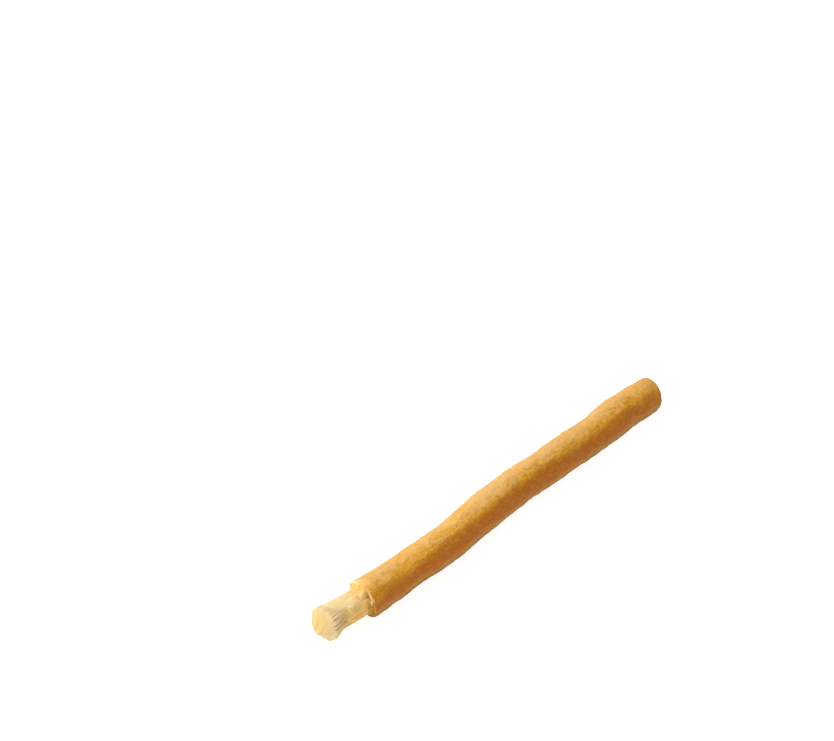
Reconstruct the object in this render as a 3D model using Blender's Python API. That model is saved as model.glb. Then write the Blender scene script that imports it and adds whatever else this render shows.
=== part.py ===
"""A miswak stick: a length of root in its thin bark, peeled at one end, and frayed there into a brush.

The stick lies along X on the plane Z = 0, with its brush at -X and its sawn butt at +X. It is one grown
piece, so it is one solid: the barked shaft, the bare neck and the bristle locks, which are the neck's own
fibres, split apart.
"""

import math
import random

import bmesh
import bpy
from mathutils import Vector, noise

MM = 0.001

# Driving dimensions.
STICK_LENGTH = 150 * MM
PEELED_LENGTH = 17 * MM
NECK_DIAMETER = 9.0 * MM
BRUSH_DIAMETER = 10.8 * MM
LOCK_DIAMETER = 1.4 * MM

# The crooked shaft, in millimetres: distance from the brush's tips, sideways offset and height of the
# centre line, and diameter. The underside is flat where it would otherwise reach a little below Z = 0.
SHAFT_STATIONS = [
    (0, 1.25, 6.30, 12.80),
    (7, 1.25, 6.30, 12.80),
    (12, 0.65, 6.25, 12.80),
    (17, 0.30, 6.20, 12.75),
    (27, -0.05, 5.85, 11.90),
    (34, -0.10, 5.85, 11.50),
    (51, -1.05, 6.05, 11.60),
    (63, -0.10, 6.20, 11.85),
    (76, 0.60, 6.25, 11.90),
    (85, 0.65, 6.20, 11.90),
    (96, 0.20, 6.05, 11.70),
    (109, 0.05, 5.93, 11.75),
    (121, -0.45, 5.83, 11.70),
    (128, -0.15, 6.00, 12.30),
    (138, 0.05, 5.90, 12.00),
    (150, -1.00, 5.80, 11.30),
]

# The shaft's surface.
SHAFT_SIDES = 26
SHAFT_STEP = 2.7 * MM
LUMP_HEIGHT = 0.16 * MM
LUMP_SPACING = 8 * MM

# The butt's cut edge is worn round. The cut slants, and the stick is longest at one side of it.
BUTT_ROUNDING = 1.5 * MM
BUTT_ROUNDING_STEPS = 4
BUTT_SLANT = 0.2
BUTT_LONGEST = math.radians(35)
BUTT_FADE = 8 * MM

# The rim where the bark was cut round with a knife and peeled off. The cut slants: it is nearest the tips
# at one side, whose angle round the stick is counted from +Y.
RIM_LIP = 0.35 * MM
RIM_SLANT = 0.8 * MM
RIM_NEAREST = math.radians(125)
RIM_RAGGEDNESS = 0.3 * MM
RIM_WANDER = 1.3
RIM_FADE = 5 * MM

# The brush swells over its last few millimetres. Distances here are from its tips.
SWELL_START = 6.8 * MM
SWELL_END = 1.8 * MM
CORE_END = 1.3 * MM

# The furrows between the outer locks: distance from the tips, and depth as a share of a lock's thickness.
CORE_FURROWS = [(12.6 * MM, 0.1), (SWELL_START, 0.3), (4 * MM, 0.4), (CORE_END, 0.55)]

# The bristle locks, as rings from the outside in: how many, and how far out as a share of the brush.
LOCK_RINGS = [(25, 1.0), (18, 0.74), (12, 0.49), (6, 0.24)]
LOCK_SIDES_RESOLUTION = 1
OUTER_LOCK_STEPS = 7
INNER_LOCK_START = 2.6 * MM
LOCK_ROOT_SHARE = 0.75
LOCK_TIP_SHARE = 0.6
LOCK_TIP_LENGTH = 0.3 * LOCK_DIAMETER
LOCK_SPACING_SCATTER = 0.15
EDGE_ROUNDING = 0.65 * MM
TIP_SCATTER = 0.35 * MM
LOCK_SEED = 7

# Most of Perlin noise lies between minus and plus this.
NOISE_REACH = 0.5

FLOOR_DEPTH = 4 * MM
WELD = 0.001 * MM
CREASE_ANGLE = math.radians(40)

# Golden bark and cream wood: linear colour and roughness.
BARK = ((0.60, 0.29, 0.06, 1.0), 0.6)
BARE_WOOD = ((0.82, 0.60, 0.28, 1.0), 0.75)


def clear_scene():
    for old in list(bpy.data.objects):
        bpy.data.objects.remove(old, do_unlink=True)


def new_collection(name):
    collection = bpy.data.collections.new(name)
    bpy.context.scene.collection.children.link(collection)
    return collection


def matte_material(name, look):
    colour, roughness = look
    material = bpy.data.materials.new(name)
    material.use_nodes = True
    shader = material.node_tree.nodes["Principled BSDF"]
    shader.inputs["Base Color"].default_value = colour
    shader.inputs["Roughness"].default_value = roughness
    shader.inputs["Metallic"].default_value = 0.0
    material.diffuse_color = colour
    return material


def smoothstep(low, high, value):
    share = min(1.0, max(0.0, (value - low) / (high - low)))
    return share * share * (3 - 2 * share)


def station_value(column, distance):
    """One column of the stations at a distance from the tips, in metres, on a smooth curve through all."""
    at = distance / MM
    rows = SHAFT_STATIONS
    i = max(k for k in range(len(rows) - 1) if rows[k][0] <= max(at, 0))
    before, here, there, after = (rows[min(max(k, 0), len(rows) - 1)] for k in (i - 1, i, i + 1, i + 2))
    span = there[0] - here[0]
    slope_here = (there[column] - before[column]) / (there[0] - before[0])
    slope_there = (after[column] - here[column]) / (after[0] - here[0])
    t = (at - here[0]) / span
    value = (
        here[column] * (2 * t**3 - 3 * t**2 + 1)
        + slope_here * span * (t**3 - 2 * t**2 + t)
        + there[column] * (3 * t**2 - 2 * t**3)
        + slope_there * span * (t**3 - t**2)
    )
    return value * MM


def centre_line(distance):
    return Vector((distance - STICK_LENGTH / 2, station_value(1, distance), station_value(2, distance)))


def shaft_radius(distance):
    return station_value(3, distance) / 2


def neck_radius(distance):
    """The bare wood is an even cylinder from the rim on, and swells where it splits into the brush."""
    swell = (BRUSH_DIAMETER - NECK_DIAMETER) / 2
    return NECK_DIAMETER / 2 + swell * smoothstep(SWELL_START, SWELL_END, distance)


def shaft_profile():
    """Half outline, as (distance from the tips, radius), from the butt's middle to the neck's."""
    flat = shaft_radius(STICK_LENGTH) - BUTT_ROUNDING
    profile = [(STICK_LENGTH, 0.0)]
    for k in range(BUTT_ROUNDING_STEPS):
        turn = math.pi / 2 * k / BUTT_ROUNDING_STEPS
        back = BUTT_ROUNDING * (1 - math.cos(turn))
        profile.append((STICK_LENGTH - back, flat + BUTT_ROUNDING * math.sin(turn)))
    start, end = STICK_LENGTH - BUTT_ROUNDING, PEELED_LENGTH + RIM_LIP
    rings = round((start - end) / SHAFT_STEP)
    for k in range(rings + 1):
        distance = start + (end - start) * k / rings
        profile.append((distance, shaft_radius(distance)))
    profile.append((PEELED_LENGTH, shaft_radius(PEELED_LENGTH) - RIM_LIP))
    profile.append((PEELED_LENGTH + RIM_LIP, neck_radius(PEELED_LENGTH)))
    for distance, furrow in CORE_FURROWS:
        profile.append((distance, neck_radius(distance) - furrow * LOCK_DIAMETER))
    profile.append((CORE_END, 0.0))
    return profile


def wander(position, height):
    """A smooth irregular height, mostly between minus and plus the one given, in noise cells 1 apart."""
    return height * noise.noise(position) / NOISE_REACH


def lump(position):
    """The bark's broad swellings and hollows, as a height above the round shaft."""
    return wander(position / LUMP_SPACING, LUMP_HEIGHT)


def rim_shift(angle):
    """How far the ragged rim stands forward of a square cut, at an angle round the stick."""
    around = Vector((math.cos(angle), math.sin(angle), 0.0)) * RIM_WANDER
    return RIM_SLANT * math.cos(angle - RIM_NEAREST) + wander(around, RIM_RAGGEDNESS)


def butt_shift(radius, angle):
    """How far the slanting cut moves the butt along the stick, at a radius and an angle."""
    longest = shaft_radius(STICK_LENGTH) - BUTT_ROUNDING
    return BUTT_SLANT * (radius * math.cos(angle - BUTT_LONGEST) - longest)


def shape_shaft(bm):
    """Moves the straight turned shaft onto the crooked one, with its lumps, ragged rim and slanting butt."""
    for vert in bm.verts:
        distance = vert.co.x
        out = Vector((0.0, vert.co.y, vert.co.z))
        radius = out.length
        angle = math.atan2(out.z, out.y)
        on_bark = smoothstep(PEELED_LENGTH - RIM_LIP, PEELED_LENGTH + RIM_FADE, distance)
        at_rim = 1 - smoothstep(PEELED_LENGTH + RIM_LIP, PEELED_LENGTH + RIM_FADE, distance)
        at_rim *= smoothstep(PEELED_LENGTH - RIM_FADE, PEELED_LENGTH - RIM_LIP, distance)
        if radius > 0:
            out *= 1 + on_bark * lump(vert.co) / radius
        place = centre_line(distance) + out
        place.x -= at_rim * rim_shift(angle)
        at_butt = smoothstep(STICK_LENGTH - BUTT_FADE, STICK_LENGTH - BUTT_ROUNDING, distance)
        place.x += at_butt * butt_shift(radius, angle)
        vert.co = place


def make_shaft(collection, materials):
    bm = bmesh.new()
    ring = [bm.verts.new((distance, 0.0, radius)) for distance, radius in shaft_profile()]
    edges = [bm.edges.new(pair) for pair in zip(ring, ring[1:])]
    bmesh.ops.spin(
        bm,
        geom=ring + edges,
        axis=(1.0, 0.0, 0.0),
        cent=(0.0, 0.0, 0.0),
        angle=2 * math.pi,
        steps=SHAFT_SIDES,
        use_merge=True,
    )
    bmesh.ops.remove_doubles(bm, verts=bm.verts, dist=WELD)
    bmesh.ops.recalc_face_normals(bm, faces=bm.faces)
    for face in bm.faces:
        face.material_index = int(face.calc_center_median().x < PEELED_LENGTH + 0.5 * RIM_LIP)
    shape_shaft(bm)
    mesh = bpy.data.meshes.new("miswak_stick")
    bm.to_mesh(mesh)
    bm.free()
    for material in materials:
        mesh.materials.append(material)
    stick = bpy.data.objects.new("miswak_stick", mesh)
    collection.objects.link(stick)
    return stick


def lock_points(share, angle, tip):
    """One lock's path from inside the neck to its tip, with its thickness at each point as a share."""
    outermost = share == LOCK_RINGS[0][1]
    start = PEELED_LENGTH + RIM_LIP if outermost else INNER_LOCK_START
    steps = OUTER_LOCK_STEPS if outermost else 1
    end = tip + LOCK_TIP_LENGTH
    points = []
    for k in range(steps + 1):
        distance = start + (end - start) * k / steps
        reach = (neck_radius(distance) - LOCK_DIAMETER / 2) * share
        place = centre_line(distance) + Vector((0.0, reach * math.cos(angle), reach * math.sin(angle)))
        points.append((place, LOCK_ROOT_SHARE + (1 - LOCK_ROOT_SHARE) * k / steps))
    run = (points[-1][0] - points[-2][0]).normalized()
    points.append((points[-1][0] + run * LOCK_TIP_LENGTH, LOCK_TIP_SHARE))
    return points


def make_locks(collection, material_count):
    """The frayed fibres, as tapering locks that start in the neck and spread to a domed face."""
    chance = random.Random(LOCK_SEED)
    curve = bpy.data.curves.new("lock_paths", "CURVE")
    curve.dimensions = "3D"
    curve.bevel_depth = LOCK_DIAMETER / 2
    curve.bevel_resolution = LOCK_SIDES_RESOLUTION
    curve.use_fill_caps = True
    for number, share in LOCK_RINGS:
        turn = chance.uniform(0, 2 * math.pi)
        for k in range(number):
            place = k + chance.uniform(-LOCK_SPACING_SCATTER, LOCK_SPACING_SCATTER)
            angle = turn + 2 * math.pi * place / number
            tip = EDGE_ROUNDING * share**4 + chance.uniform(0, TIP_SCATTER)
            points = lock_points(share, angle, tip)
            spline = curve.splines.new("POLY")
            spline.points.add(len(points) - 1)
            for point, (place, width) in zip(spline.points, points):
                point.co = (*place, 1.0)
                point.radius = width
    paths = bpy.data.objects.new("lock_paths", curve)
    collection.objects.link(paths)
    bpy.context.view_layer.update()
    evaluated = paths.evaluated_get(bpy.context.evaluated_depsgraph_get())
    mesh = bpy.data.meshes.new_from_object(evaluated)
    bm = bmesh.new()
    bm.from_mesh(mesh)
    bmesh.ops.remove_doubles(bm, verts=bm.verts, dist=WELD)
    bmesh.ops.recalc_face_normals(bm, faces=bm.faces)
    for face in bm.faces:
        face.material_index = material_count - 1
    bm.to_mesh(mesh)
    bm.free()
    locks = bpy.data.objects.new("bristle_locks", mesh)
    locks.matrix_world = paths.matrix_world
    collection.objects.link(locks)
    bpy.data.objects.remove(paths)
    return locks


def make_floor_cutter(collection):
    """Everything below Z = 0, where the stick's weight rests on flats of its underside."""
    bm = bmesh.new()
    bmesh.ops.create_cube(bm, size=2 * STICK_LENGTH)
    bmesh.ops.scale(bm, vec=(1.0, 1.0, FLOOR_DEPTH / (2 * STICK_LENGTH)), verts=bm.verts)
    bmesh.ops.translate(bm, vec=(0.0, 0.0, -FLOOR_DEPTH / 2), verts=bm.verts)
    mesh = bpy.data.meshes.new("floor_cutter")
    bm.to_mesh(mesh)
    bm.free()
    cutter = bpy.data.objects.new("floor_cutter", mesh)
    collection.objects.link(cutter)
    return cutter


def hide_helper(helper):
    helper.hide_render = True
    helper.display_type = "WIRE"


def add_boolean(obj, name, operation, other, overlaps_itself):
    boolean = obj.modifiers.new(name, "BOOLEAN")
    boolean.operation = operation
    boolean.object = other
    boolean.solver = "EXACT"
    boolean.use_self = overlaps_itself
    hide_helper(other)


def main():
    clear_scene()
    parts = new_collection("miswak_stick")
    helpers = new_collection("helpers")
    materials = [matte_material("bark", BARK), matte_material("bare_wood", BARE_WOOD)]
    stick = make_shaft(parts, materials)
    add_boolean(stick, "fuse_locks", "UNION", make_locks(helpers, len(materials)), True)
    add_boolean(stick, "rest_flats", "DIFFERENCE", make_floor_cutter(helpers), False)
    stick.data.shade_smooth()
    stick.data.set_sharp_from_angle(angle=CREASE_ANGLE)


main()
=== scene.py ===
"""The looks of a miswak stick: fine bark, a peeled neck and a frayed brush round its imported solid.

Laid out as a Blender add-on, with one operator for each piece. Lengths are in metres and +Z is up. The
stick lies along X with its brush at -X. A distance is counted from the brush's tips along the stick, an
angle round the stick from +Y towards +Z, and a share of the radius from the middle out.
"""

import random
from math import atan2, cos, hypot, pi, radians, sin, sqrt

import bmesh
import bpy
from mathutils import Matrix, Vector, noise


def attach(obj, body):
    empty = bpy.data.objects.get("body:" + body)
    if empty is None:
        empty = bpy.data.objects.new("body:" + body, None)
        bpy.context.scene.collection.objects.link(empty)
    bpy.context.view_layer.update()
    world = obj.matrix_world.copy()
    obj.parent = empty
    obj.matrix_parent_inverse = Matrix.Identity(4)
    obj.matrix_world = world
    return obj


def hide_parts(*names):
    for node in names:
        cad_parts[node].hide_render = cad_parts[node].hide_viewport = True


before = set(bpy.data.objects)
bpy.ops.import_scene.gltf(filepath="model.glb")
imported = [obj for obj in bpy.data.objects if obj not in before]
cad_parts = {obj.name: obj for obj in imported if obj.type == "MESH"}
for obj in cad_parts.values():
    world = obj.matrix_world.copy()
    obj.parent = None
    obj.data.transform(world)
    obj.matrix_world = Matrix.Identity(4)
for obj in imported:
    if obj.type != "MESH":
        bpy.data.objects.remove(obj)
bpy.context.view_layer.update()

bl_info = {
    "name": "Miswak Stick",
    "version": (1, 0, 0),
    "blender": (4, 5, 0),
    "location": "View3D > Sidebar > Miswak",
    "description": "Builds the bark, the peeled neck, the brush and the studio of a chewing stick",
    "category": "Add Mesh",
}

MM = 0.001
MM_IN_METRE = 1000
TURN = 2 * pi
STICK_NODE = "miswak_stick"

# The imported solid's own form, which every fine surface follows.
STICK_LENGTH = 150 * MM
PEELED_LENGTH = 17 * MM
NECK_DIAMETER = 9.0 * MM
BRUSH_DIAMETER = 10.8 * MM
LOCK_DIAMETER = 1.4 * MM

# The crooked shaft, in millimetres: distance, sideways offset and height of the centre line, and diameter.
SHAFT_STATIONS = [
    (0, 1.25, 6.30, 12.80),
    (7, 1.25, 6.30, 12.80),
    (12, 0.65, 6.25, 12.80),
    (17, 0.30, 6.20, 12.75),
    (27, -0.05, 5.85, 11.90),
    (34, -0.10, 5.85, 11.50),
    (51, -1.05, 6.05, 11.60),
    (63, -0.10, 6.20, 11.85),
    (76, 0.60, 6.25, 11.90),
    (85, 0.65, 6.20, 11.90),
    (96, 0.20, 6.05, 11.70),
    (109, 0.05, 5.93, 11.75),
    (121, -0.45, 5.83, 11.70),
    (128, -0.15, 6.00, 12.30),
    (138, 0.05, 5.90, 12.00),
    (150, -1.00, 5.80, 11.30),
]
MIDDLE_HEIGHT = 6 * MM
LUMP_HEIGHT = 0.16 * MM
LUMP_SPACING = 8 * MM
BUTT_ROUNDING = 1.5 * MM
BUTT_SLANT = 0.2
BUTT_LONGEST = radians(35)
BUTT_FADE = 8 * MM

# The rim where the bark was cut round and peeled off. The cut slants, nearest the tips at RIM_NEAREST.
RIM_LIP = 0.35 * MM
RIM_SLANT = 0.8 * MM
RIM_NEAREST = radians(125)
RIM_RAGGEDNESS = 0.3 * MM
RIM_WANDER = 1.3
RIM_FADE = 5 * MM

# Where the brush starts to swell and stops, at its upper side and, later and more steeply, at its lower side.
LOWER_SIDE = radians(215)
UPPER_SWELL = (9.5 * MM, 1.5 * MM)
LOWER_SWELL = (6.2 * MM, 2.6 * MM)

# The bristle locks as in the solid: rings of how many at which share of the radius, and their scatter.
LOCK_RINGS = [(25, 1.0), (18, 0.74), (12, 0.49), (6, 0.24)]
LOCK_SPACING_SCATTER = 0.15
EDGE_ROUNDING = 0.65 * MM
TIP_SCATTER = 0.35 * MM
LOCK_SEED = 7

# The brush's edge is worn back further everywhere but at its far side, with one notch and one proud tuft,
# each at an angle and so wide to either side of it.
FAR_SIDE = radians(305)
WORN_DEPTH = 1.1 * MM
WORN_BEYOND = (radians(12), radians(60))
NOTCH, NOTCH_DEPTH = (radians(277), radians(11)), 0.95 * MM
PROUD_TUFT, PROUD_HEIGHT = (radians(243), radians(21)), 0.8 * MM

# Most of Perlin noise lies between minus and plus this.
NOISE_REACH = 0.5
WELD = 0.001 * MM

# Bark relief: height or depth, and the spacing along and across the stick.
BUMPS = (0.085 * MM, 2.4 * MM, 1.7 * MM)
GRAIN = (0.035 * MM, 1.1 * MM, 0.6 * MM)
CREASES = (0.065 * MM, 3.6 * MM, 0.95 * MM)
CREASE_WIDTH = 0.25
CREASED_PATCHES = (-0.15, 0.35)
PITS = (0.07 * MM, 1.5 * MM, 0.95 * MM)
PIT_THRESHOLD = (0.15, 0.4)
PIT_CELLS = Vector((7.0, 3.0, 5.0))
PITTED_REACH = (60 * MM, 95 * MM)
PATCH_SPACING = 9 * MM

# Folds in the bark that stand out, and the ranges that smaller ones are drawn from: distance, angle in
# degrees, length, how far it bends, and height, in millimetres.
FOLDS = [
    (20.8, 121, 5.0, 0.3, 0.07),
    (30.8, 132, 10.0, -0.5, 0.06),
    (35.6, 125, 3.4, -1.2, 0.10),
    (50.2, 127, 3.0, 0.1, 0.12),
    (96.0, 131, 7.0, 0.5, 0.06),
    (133.0, 128, 5.0, 0.6, 0.07),
]
FOLD_RANGES = [(22, 142), (0, 360), (3, 9), (-0.6, 0.6), (0.04, 0.09)]
FOLD_COUNT = 30
FOLD_SEED = 5
FOLD_WIDTH = 0.55 * MM
FOLD_WAVE = 1.6 * MM

# The rim's fine shape.
LIP_STEPS = 6
RIM_FACE_STEPS = 9
RIM_DISH = 0.2 * MM
RIM_TEETH = (0.14 * MM, 5.0)
RIM_CORNER, RIM_CORNER_REACH = (radians(32), radians(30)), 0.75 * MM
RIM_GRAIN, RIM_GRAIN_SPACING = 0.1 * MM, 0.5 * MM
SOCKET_DEPTH = 1.4 * MM
HOLLOW_ANGLE, HOLLOW_WIDTH = radians(133), radians(22)
HOLLOW_DEPTH = 0.6 * MM

# The bark's colour at the rim: a bleached corner on top, a wide peachy band, a golden one and a narrow lip of
# inner bark. Each lies at an angle, so wide to either side of it, and reaches so far back.
BLEACHED_SIDE, BLEACHED_REACH = (radians(38), radians(40)), 2.0 * MM
PEACHY_SIDE, PEACHY_REACH = (radians(66), radians(36)), 4.5 * MM
RIPE_SIDE, RIPE_REACH = (radians(128), radians(30)), 6 * MM
LIP_SIDE, LIP_REACH = (radians(138), radians(18)), 0.42 * MM
SIDE_FADE = radians(16)
RAGGED_BAND = (7.0, 0.45)
WAVY_BAND = (3.0, 1.3 * MM)

# The bark's colour patterns: the size of a cell along and across the stick, detail, roughness and distortion.
BLOTCHES = (6 * MM, 3.5 * MM, 3.0, 0.6)
MOTTLE = (1.5 * MM, 1.1 * MM, 4.0, 0.7, 0.5)
SPECKS = (1.4 * MM, 1.1 * MM, 3.0, 0.65, 0.6)
WRINKLES = (3.5 * MM, 0.7 * MM, 3.0, 0.6)
SHADOW_LINE_PATCHES = (8 * MM, 3 * MM, 3.0, 0.55)
VEIL = (2.6 * MM, 1.2 * MM, 4.0, 0.65, 0.3)
SOIL_GRAIN = (0.9 * MM, 0.6 * MM, 3.0, 0.6)
FINE_BARK = (0.5 * MM, 0.25 * MM, 3.0, 0.6)

# Where a pattern shows: the range of its values, and the share of its colour at either end of that range.
SPECKS_SHOWN = (0.53, 0.66, 0.0, 0.25)
MOTTLE_SHOWN = (0.49, 0.64, 0.0, 0.75)
WRINKLES_SHOWN = (0.56, 0.8, 0.0, 0.4)
SHADOW_LINE_SHOWN = (0.5, 0.66, 0.18, 0.7)
VEIL_SHOWN = (0.45, 0.66, 0.0, 0.09)
GRAIN_SHOWN = (0.46, 0.68, 0.0, 0.3)

# Sides of the bark: the angle that each faces in degrees, its range from -1 away from it to 1 towards it, and
# the share of its colour at either end of that range. Some drift with the blotches, by a share of them.
# The peach top is painted light: the upper side is painted paler where the light falls on it.
PAINTED_LIGHT_TOP, PEACH_SHOWN, PEACH_DRIFT = 72, (1.0, 1.58), 0.9
MOTTLED_SIDES = [(116, 0.8, 0.97, 0.1, 1.0), (185, 0.5, 0.9, 0.0, 0.35), (342, 0.55, 0.95, 0.0, 0.8)]
# The brown sides are painted shade: the sides turned from the light are painted darker and redder.
BROWN_NEAR, BROWN_FAR, BROWN_SHOWN = 165, 290, (0.68, 0.93, 0.0, 0.92)
# The umber lower side is painted shade.
UMBER_LOW, UMBER_SHOWN = 225, (0.7, 1.15, 0.0, 0.85)
BROWN_DRIFT = 0.3
# A painted shadow line: a narrow dark band where the lit side turns to shade.
SHADOW_LINE_SIDE = (150, 0.88, 0.975)
# The underside is painted shade.
SHADED_UNDERSIDE = (248, 0.42, 0.74, 0.0, 0.8)
GRAINY_SIDE = (150, 0.4, 0.85, 0.35, 1.0)

# The brown side's painted shade reaches highest at one place along X, and falls away from it over a length.
BROWN_HIGHEST, BROWN_SPREAD, BROWN_FALL = 12 * MM, 22 * MM, -0.22
SOIL_ALONG = (-20 * MM, 45 * MM, 0.0, 0.09)
# How strongly the gold band, the painted shade in the creases and pits, and the handled butt show.
RIPE_STRENGTH, HOLLOW_SHADE_STRENGTH, HANDLED_STRENGTH = 0.6, 0.6, 0.4
BARK_ROUGHNESS = (0.3, 0.7, 0.55, 0.72)
BARK_GLOSS = 0.18
BARK_BUMP = (0.8, 0.1 * MM)
MOTTLE_BUMP = 1.5

# The bare wood's patterns, gloss and bump, in the same way.
STREAKS = (4 * MM, 0.35 * MM, 3.0, 0.6)
CLOUDS = (3 * MM, 2 * MM, 2.0, 0.5)
FINE_WOOD = (1.2 * MM, 0.12 * MM, 2.0, 0.5)
TONE_SHARE, STREAK_SHARE = 0.7, 0.3
PALE_SHOWN, CLOUDS_SHOWN, BLEACHED_SHOWN = (0.2, 0.75), (0.5, 0.8, 0.0, 0.4), (0.72, 1.0)
STAIN_SHOWN = (0.25, 0.7, 0.55, 1.0)
WOOD_ROUGHNESS, WOOD_GLOSS = 0.72, 0.3
WOOD_BUMP = (0.25, 0.03 * MM)

# What the materials read at each point. On bare wood: a strand's tone, the shade in the gaps, and the stain,
# which holds painted shade too.
# On the bark, the first value is painted shade in its creases, pits and low places.
BARK_LAYERS = ("hollow_shade", "pale", "peachy", "ripe", "butt_end")
WOOD_LAYERS = ("tone", "shade", "stain_and_shade")

# The butt's cut face, and the stretch of bark before it that is worn by handling.
BUTT_SIDES = 160
BUTT_RECESS = 0.3 * MM
BUTT_CHAMFER = 0.2 * MM
BUTT_FACE_BELOW = 0.07 * MM
BUTT_FACE_STEP = 0.14 * MM
FIBRE_GRAIN, RING_SPACING = 0.22 * MM, 0.42 * MM
HANDLED_FROM, HANDLED_TO = 9 * MM, 1 * MM
CHECK_LEAN, CHECK_WIDTH = 0.6, 0.16 * MM
CHECK_MIDDLE, CHECK_REACH = 0.5 * MM, 2.6 * MM

# The peeled neck under the fibres.
NECK_SIDES = 340
NECK_STEP = 0.22 * MM
NECK_END = 8.2 * MM
CORE_START = 6 * MM
CORE_END = 2.2 * MM
CORE_INSET = 0.2 * MM
CORE_UPPER_INSET = 0.14 * MM
CORE_FRAYED = 7.5 * MM
SPLIT_RAGGEDNESS = 1.5 * MM
SPLIT_CELLS = 11.0
NECK_RIDGES = [(0.035 * MM, 3.5 * MM, 0.2 * MM), (0.07 * MM, 4.5 * MM, 0.55 * MM)]
NECK_LUMP = (0.09 * MM, 2.4 * MM, 1.6 * MM)
SMOOTH_SIDE = radians(60)
SMOOTH_WIDTH = radians(80)
SMOOTH_SHARE = 0.35
# How much more golden the neck's near and lower side is: partly its own tone, partly painted shade.
RIPE_AND_SHADE_SHARE = 0.42

# The neck swells into the rim, by how much over how far: a little all round, and more at its upper near side.
ROOT_FLARE = (0.35 * MM, 1.6 * MM)
ROOT_RISE = (1.3 * MM, 3.6 * MM)
ROOT_RISE_SIDE = (radians(87), radians(32))

# Crushed spots on the neck: distance, angle in degrees, height and radius, in millimetres.
CRUSHED_SPOTS = [
    (14.7, 111, 0.14, 1.3),
    (13.2, 100, 0.10, 1.2),
    (9.7, 124, 0.2, 0.8),
    (10.4, 132, 0.26, 0.8),
    (9.0, 134, 0.2, 0.6),
    (6.4, 139, 0.16, 0.7),
]

# Stains on the bare wood: distance, angle in degrees, and reach along and round, in millimetres.
STAINED_SPOTS = [(15.1, 92, 2.2, 1.7), (13.2, 88, 1.2, 0.7), (16.4, 70, 1.2, 1.5), (14.6, 126, 1.6, 0.6)]
STAIN_STREAKS = (1.3, 3.2 * MM, 0.5 * MM)
STAIN_EDGE = (0.8 * MM, 2 * MM, 1 * MM)
RAMP_SIDE, RAMP_REACH = (radians(76), radians(42)), (12 * MM, 14.6 * MM)
UPPER_STAIN = 0.1
UPPER_SHADE = 0.08
LOW_BEGINS, LOW_ENDS = (radians(108), radians(150)), (radians(250), radians(330))

# The brown patch low on the neck, by the bark.
ROOT_SIDE, ROOT_WIDTH = radians(186), radians(36)
ROOT_FROM, ROOT_TO = 14.5 * MM, 15.3 * MM
ROOT_FADE = radians(9)

# The thin peel that stands up along the lip and ends in a curl: its stretch of the rim, its curl, its size.
PEEL_FROM, PEEL_TO = radians(88), radians(151)
PEEL_BEHIND = (0.3 * MM, 2.0 * MM)
PEEL_RUN = 0.72
PEEL_CURL = (0.6 * MM, radians(8))
PEEL_CURL_TURN = radians(400)
PEEL_WIDTH = 0.95 * MM
PEEL_THICKNESS = 0.2 * MM
PEEL_STEPS = (90, 5)

# Loose fibres along the neck, at the brush's edge and at the rim: how many, and the ranges of their length
# and lift, in millimetres, and of their tone.
NECK_FIBRES, NECK_FIBRE = 40, ((2.0, 4.5), (0.05, 0.4), (0.3, 1.0))
EDGE_FIBRES, EDGE_FIBRE = 16, ((2.5, 3.6), (0.1, 0.45), (0.4, 1.0))
RIM_FIBRES, RIM_FIBRE = 16, ((0.5, 1.1), (-0.15, 0.15), (0.2, 0.8))
EDGE_FIBRE_ROOT = 4.2 * MM
FIBRE_LENGTH = 3 * MM
FIBRE_THICKNESS = 0.07 * MM
FIBRE_STEPS = 7
FIBRE_SEED = 31

# The bristles' three depths: from which share of the radius, where they are rooted, and in how many steps.
OUTER_SHARE, OUTER_ROOTS, OUTER_STEPS = 0.925, (7.5, 13.5), 8
MIDDLE_SHARE, MIDDLE_ROOT, MIDDLE_STEPS = 0.74, 5.5 * MM, 5
INNER_ROOT, INNER_STEPS = 3.4 * MM, 3

# How the bristles stand. SITE_DENSITY is how many even places a disc has whose radius is one spacing.
GOLDEN_ANGLE = pi * (3 - sqrt(5))
SITE_DENSITY = 3.6276
BRISTLE_SEED = 19
TUFTED_SIDE, TUFTED_WIDTH = radians(185), radians(85)
GAP_SHARES = (0.82, 0.97)
SPLIT_LENGTHS = (4.5 * MM, 8.5 * MM)
SPLAY_REACH = 5.5 * MM
FRIZZ_SPACING = 2.2 * MM
PALE_SIDE = (radians(225), radians(42))
SUNK_DEPTH = 0.05 * MM
STEP_CROWDING = 0.85

# The studio.
FLOOR_SIZE = 6.0
FLOOR_GAP = 0.02 * MM
WHITE = (1.0, 1.0, 1.0, 1.0)
KEY_TOWARDS = (-0.46, 0.42, 0.78)
CAMERA_AZIMUTH = radians(-48.31)
CAMERA_ELEVATION = radians(43.48)
CAMERA_DISTANCE = 0.75
CAMERA_FROM = Vector((-0.00397, 0.0, MIDDLE_HEIGHT))
CAMERA_AIM = Vector((0.02894, 0.06198, MIDDLE_HEIGHT))
SENSOR_WIDTH = 36.0


def clamp(value):
    return min(1.0, max(0.0, value))


def blend(low, high, share):
    return low + (high - low) * share


def smoothstep(low, high, value):
    share = clamp((value - low) / (high - low))
    return share * share * (3 - 2 * share)


def hill(value, centre, half_width):
    """1 at the centre, falling smoothly to 0 at half_width either side of it."""
    return 1 - smoothstep(0, half_width, abs(value - centre))


def turn_between(angle, other):
    """The angle from other to angle, between minus and plus half a turn."""
    return (angle - other + pi) % TURN - pi


def on_side(angle, side, width, fade=SIDE_FADE):
    """1 within a width either side of an angle, fading to 0 beyond it."""
    return 1 - smoothstep(width - fade, width + fade, abs(turn_between(angle, side)))


def near_angle(angle, side, width):
    """1 at an angle, falling smoothly to 0 at a width either side of it."""
    return hill(turn_between(angle, side), 0, width)


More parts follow.
